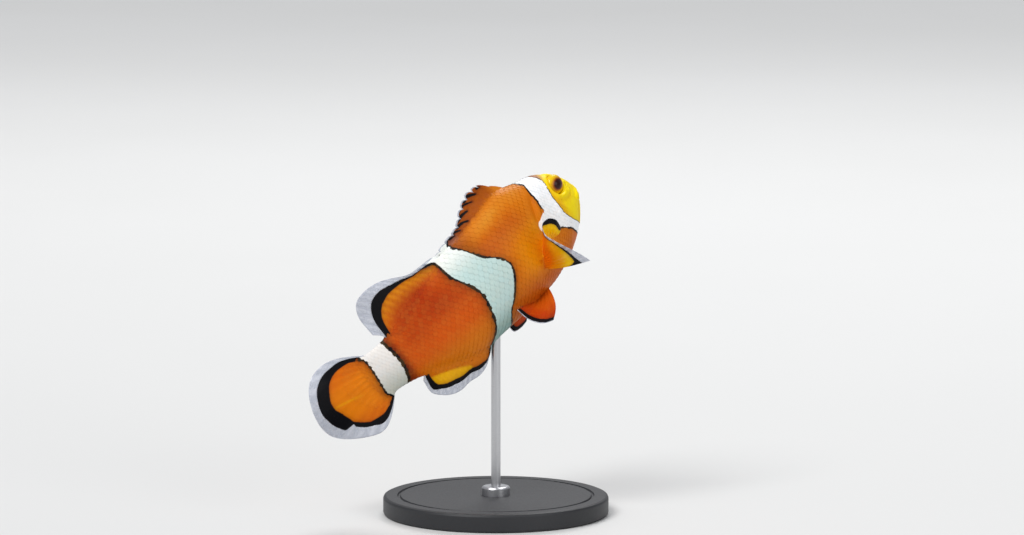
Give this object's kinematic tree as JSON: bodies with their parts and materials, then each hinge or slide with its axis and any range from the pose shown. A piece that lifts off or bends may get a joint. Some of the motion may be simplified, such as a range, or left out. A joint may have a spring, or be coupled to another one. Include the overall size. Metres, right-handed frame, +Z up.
{
  "type": "clownfish model on a display stand",
  "caption": "Life-size still model of a clownfish, orange with white bands and black-edged fins, swimming nose-up on one thin rod over a round base.",
  "frame": {"origin": "centre of the round base's underside, on the axis of the rod", "axes": "+Z up along the rod; the fish heads towards +X, turned 34 degrees towards +Y and 38 degrees nose-up, and shows its right side towards -Y"},
  "size_m": [0.0638, 0.048, 0.0715],
  "materials": {
    "scaled_skin": "wet-looking fish skin with small scales: orange flanks, yellow face, three white bands edged black, fins with black and clear margins",
    "eye": "glossy fish eye: dark pupil, amber ring, yellow iris",
    "stand_black": "fine satin black powder coat on steel",
    "stand_steel": "brushed stainless steel"
  },
  "bodies": {
    "root": {"head": "scaled_skin", "lower_jaw": "scaled_skin", "gill_cover_left": "scaled_skin", "gill_cover_right": "scaled_skin", "eye_left": "eye", "eye_right": "eye", "trunk": "scaled_skin", "tail": "scaled_skin", "dorsal_fin_front": "scaled_skin", "dorsal_fin_rear": "scaled_skin", "anal_fin": "scaled_skin", "tail_fin": "scaled_skin", "pectoral_fin_left": "scaled_skin", "pectoral_fin_right": "scaled_skin", "pelvic_fin_left": "scaled_skin", "pelvic_fin_right": "scaled_skin", "stand_base": "stand_black", "stand_collar": "stand_steel", "stand_rod": "stand_steel"}
  },
  "joints": []
}
